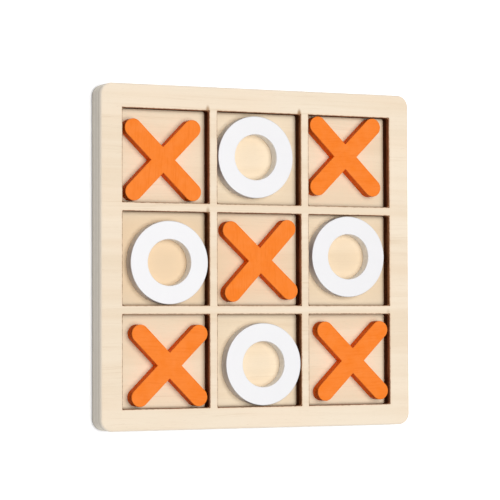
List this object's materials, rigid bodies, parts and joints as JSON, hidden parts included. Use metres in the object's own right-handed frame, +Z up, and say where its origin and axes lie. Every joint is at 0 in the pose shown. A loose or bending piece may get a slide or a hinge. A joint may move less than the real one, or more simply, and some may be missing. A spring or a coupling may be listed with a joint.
{
  "type": "tic tac toe set",
  "caption": "Square wooden noughts and crosses board with a grid of open cells and loose X and O pieces that lift out.",
  "frame": {"origin": "centre of the board's underside", "axes": "+Z up out of the cells, X from left to right along a row of cells, Y from front to back along a column"},
  "size_m": [0.1404, 0.1404, 0.011],
  "materials": {
    "base_plywood": "pale basswood plywood, sanded and unvarnished",
    "grid_plywood": "pale basswood plywood, sanded face, window walls scorched dark brown by the cut",
    "orange_paint": "thin satin orange paint on plywood, fine grain showing through",
    "white_paint": "smooth satin white paint on plywood"
  },
  "bodies": {
    "board": {"base_board": "base_plywood", "grid_frame": "grid_plywood"},
    "x_piece_top_left": {"x_piece_top_left": "orange_paint"},
    "x_piece_top_right": {"x_piece_top_right": "orange_paint"},
    "x_piece_centre": {"x_piece_centre": "orange_paint"},
    "x_piece_bottom_left": {"x_piece_bottom_left": "orange_paint"},
    "x_piece_bottom_right": {"x_piece_bottom_right": "orange_paint"},
    "o_piece_top": {"o_piece_top": "white_paint"},
    "o_piece_left": {"o_piece_left": "white_paint"},
    "o_piece_right": {"o_piece_right": "white_paint"},
    "o_piece_bottom": {"o_piece_bottom": "white_paint"}
  },
  "joints": [
    {"name": "x_piece_top_left_lift", "type": "slide", "parent": "board", "child": "x_piece_top_left", "axis": [0, 0, 1], "range_m": [0, 0.03]},
    {"name": "x_piece_top_right_lift", "type": "slide", "parent": "board", "child": "x_piece_top_right", "axis": [0, 0, 1], "range_m": [0, 0.03]},
    {"name": "x_piece_centre_lift", "type": "slide", "parent": "board", "child": "x_piece_centre", "axis": [0, 0, 1], "range_m": [0, 0.03]},
    {"name": "x_piece_bottom_left_lift", "type": "slide", "parent": "board", "child": "x_piece_bottom_left", "axis": [0, 0, 1], "range_m": [0, 0.03]},
    {"name": "x_piece_bottom_right_lift", "type": "slide", "parent": "board", "child": "x_piece_bottom_right", "axis": [0, 0, 1], "range_m": [0, 0.03]},
    {"name": "o_piece_top_lift", "type": "slide", "parent": "board", "child": "o_piece_top", "axis": [0, 0, 1], "range_m": [0, 0.03]},
    {"name": "o_piece_left_lift", "type": "slide", "parent": "board", "child": "o_piece_left", "axis": [0, 0, 1], "range_m": [0, 0.03]},
    {"name": "o_piece_right_lift", "type": "slide", "parent": "board", "child": "o_piece_right", "axis": [0, 0, 1], "range_m": [0, 0.03]},
    {"name": "o_piece_bottom_lift", "type": "slide", "parent": "board", "child": "o_piece_bottom", "axis": [0, 0, 1], "range_m": [0, 0.03]}
  ]
}
